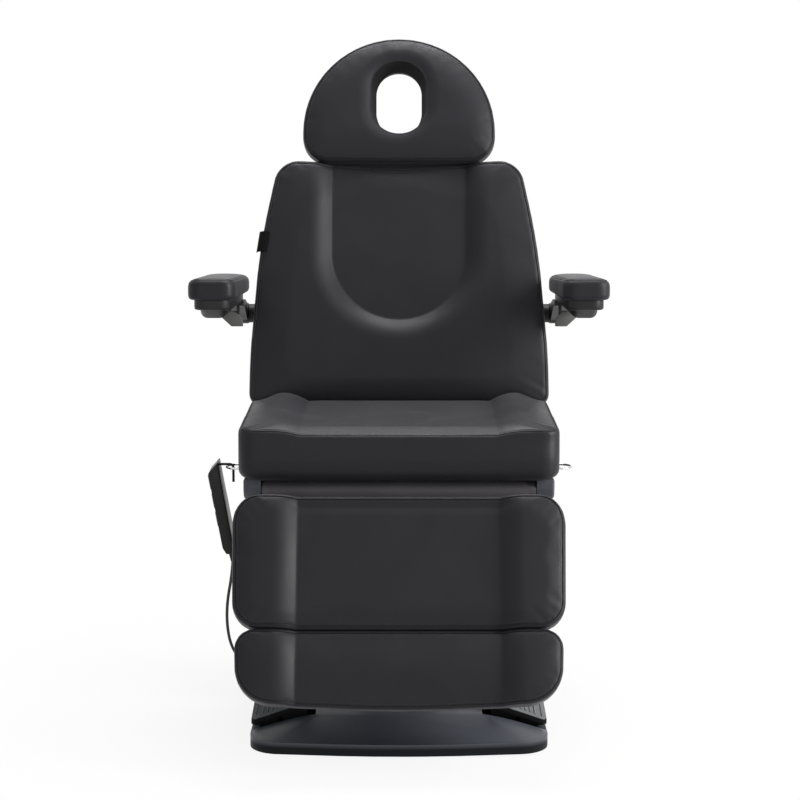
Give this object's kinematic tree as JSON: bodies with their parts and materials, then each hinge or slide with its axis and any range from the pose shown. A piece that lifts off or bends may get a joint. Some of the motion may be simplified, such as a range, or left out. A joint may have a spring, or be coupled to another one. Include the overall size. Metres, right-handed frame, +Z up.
{
  "type": "spa treatment chair",
  "caption": "Electric spa treatment chair with padded head, back, seat, leg and foot sections, swinging armrests, hand control and foot pedals on a lifting column.",
  "frame": {"origin": "on the floor under the middle of the lifting column", "axes": "+Z up, the chair faces -Y, +X is the sitter's left hand side seen from the front as the right of the picture"},
  "size_m": [0.824, 0.9933, 1.3415],
  "materials": {
    "leather": "soft grained artificial leather, satin",
    "dark_hood": "fine-textured moulded plastic",
    "grey_cover": "fine-textured moulded plastic",
    "black_plastic": "satin moulded plastic",
    "grey_plastic": "satin moulded plastic",
    "black_steel": "black powder coat",
    "bright_steel": "turned",
    "chrome_wire": "polished",
    "column_grey": "powder coat",
    "board": "black-stained plywood",
    "pads": "moulded rubber",
    "bronze": "sintered bushes",
    "lead": "cable sheath"
  },
  "bodies": {
    "base": {"base_plate": "black_steel", "base_feet": "pads", "base_hood": "dark_hood", "power_inlet": "black_plastic", "pedal_pins": "bright_steel", "pedal_brackets": "black_steel", "lift_outer_tube": "column_grey", "lift_motor": "black_steel"},
    "column_stage": {"lift_mid_tube": "column_grey"},
    "seat": {"lift_inner_tube": "column_grey", "lift_rod": "bright_steel", "carriage_plate": "black_steel", "seat_rails": "black_steel", "side_plates": "black_steel", "hinge_bushes": "bronze", "seat_board": "board", "seat_cushion": "leather", "hook_loops": "chrome_wire", "leg_actuator": "black_steel", "back_actuator": "black_steel", "control_box": "black_plastic", "cord_gland": "black_plastic", "handset_cord": "lead", "side_cover_left": "grey_cover", "side_cover_right": "grey_cover"},
    "leg_rest": {"leg_cushion": "leather", "leg_board": "board", "leg_axle": "black_steel", "leg_arms": "black_steel", "hinge_roll": "leather", "foot_guides": "bright_steel"},
    "foot_rest": {"foot_cushion": "leather", "foot_board": "board", "foot_rods": "bright_steel"},
    "leg_push_rod": {"leg_actuator_rod": "bright_steel"},
    "back_rest": {"back_cushion": "leather", "back_board": "board", "back_uprights": "black_steel", "upper_cross_tube": "black_steel", "lower_cross_tube": "black_steel", "hinge_pins": "bright_steel", "arm_posts": "black_steel"},
    "back_push_rod": {"back_actuator_rod": "bright_steel"},
    "head_rest": {"head_cushion": "leather", "head_board": "board", "head_arms": "black_steel"},
    "handset": {"handset_case": "black_plastic", "handset_hook": "black_steel"},
    "height_rocker": {"height_key": "grey_plastic"},
    "back_rocker": {"back_key": "grey_plastic"},
    "leg_rocker": {"leg_key": "grey_plastic"},
    "arm_left": {"arm_pad_left": "leather", "arm_shell_left": "black_plastic"},
    "lever_left": {"arm_lever_left": "grey_plastic"},
    "pedal_rocker_left": {"pedal_left": "black_plastic"},
    "arm_right": {"arm_pad_right": "leather", "arm_shell_right": "black_plastic"},
    "lever_right": {"arm_lever_right": "grey_plastic"},
    "pedal_rocker_right": {"pedal_right": "black_plastic"}
  },
  "joints": [
    {"name": "lift", "type": "slide", "parent": "base", "child": "seat", "axis": [0, 0, 1], "range_m": [0, 0.28]},
    {"name": "lift_stage", "type": "slide", "parent": "base", "child": "column_stage", "axis": [0, 0, 1], "range_m": [0, 0.141]},
    {"name": "leg_raise", "type": "hinge", "parent": "seat", "child": "leg_rest", "pos_m": [0, -0.222, 0.482], "axis": [-1, 0, 0], "range_deg": [0, 62]},
    {"name": "leg_rod_travel", "type": "slide", "parent": "seat", "child": "leg_push_rod", "axis": [0, -1, 0], "range_m": [0, 0.075]},
    {"name": "foot_extend", "type": "slide", "parent": "leg_rest", "child": "foot_rest", "axis": [0, -0.4695, -0.8829], "range_m": [0, 0.12]},
    {"name": "back_recline", "type": "hinge", "parent": "seat", "child": "back_rest", "pos_m": [0, 0.194, 0.566], "axis": [-1, 0, 0], "range_deg": [0, 72]},
    {"name": "back_rod_travel", "type": "slide", "parent": "seat", "child": "back_push_rod", "axis": [0, -1, 0], "range_m": [0, 0.115]},
    {"name": "head_tilt", "type": "hinge", "parent": "back_rest", "child": "head_rest", "pos_m": [0, 0.40735, 1.06545], "axis": [-1, 0, 0], "range_deg": [0, 45]},
    {"name": "handset_lift_off", "type": "slide", "parent": "seat", "child": "handset", "axis": [-0.1771, 0, 0.9842], "range_m": [0, 0.1]},
    {"name": "height_key_rock", "type": "hinge", "parent": "handset", "child": "height_rocker", "pos_m": [-0.37363, -0.06, 0.47201], "axis": [0, 1, 0], "range_deg": [-3, 3], "stiffness_Nm_per_rad": 0.2},
    {"name": "back_key_rock", "type": "hinge", "parent": "handset", "child": "back_rocker", "pos_m": [-0.3669, -0.06, 0.43461], "axis": [0, 1, 0], "range_deg": [-3, 3], "stiffness_Nm_per_rad": 0.2},
    {"name": "leg_key_rock", "type": "hinge", "parent": "handset", "child": "leg_rocker", "pos_m": [-0.36017, -0.06, 0.39721], "axis": [0, 1, 0], "range_deg": [-3, 3], "stiffness_Nm_per_rad": 0.2},
    {"name": "arm_swing_left", "type": "hinge", "parent": "back_rest", "child": "arm_left", "pos_m": [-0.36, 0.3254, 0.7632], "axis": [-1, 0, 0], "range_deg": [-30, 90]},
    {"name": "lever_pull_left", "type": "hinge", "parent": "arm_left", "child": "lever_left", "pos_m": [-0.355, 0.20417, 0.77963], "axis": [1, 0, 0], "range_deg": [0, 25], "stiffness_Nm_per_rad": 1},
    {"name": "pedal_rock_left", "type": "hinge", "parent": "base", "child": "pedal_rocker_left", "pos_m": [-0.229, -0.205, 0.045], "axis": [0, 1, 0], "range_deg": [-5, 5], "stiffness_Nm_per_rad": 60},
    {"name": "arm_swing_right", "type": "hinge", "parent": "back_rest", "child": "arm_right", "pos_m": [0.36, 0.3254, 0.7632], "axis": [-1, 0, 0], "range_deg": [-30, 90]},
    {"name": "lever_pull_right", "type": "hinge", "parent": "arm_right", "child": "lever_right", "pos_m": [0.355, 0.20417, 0.77963], "axis": [1, 0, 0], "range_deg": [0, 25], "stiffness_Nm_per_rad": 1},
    {"name": "pedal_rock_right", "type": "hinge", "parent": "base", "child": "pedal_rocker_right", "pos_m": [0.229, -0.205, 0.045], "axis": [0, 1, 0], "range_deg": [-5, 5], "stiffness_Nm_per_rad": 60}
  ],
  "couplings": [
    {"joint": "lift_stage", "follows": "lift", "ratio": 0.5},
    {"joint": "leg_rod_travel", "follows": "leg_raise", "m_per_rad": 0.066634},
    {"joint": "back_rod_travel", "follows": "back_recline", "m_per_rad": 0.088871}
  ]
}
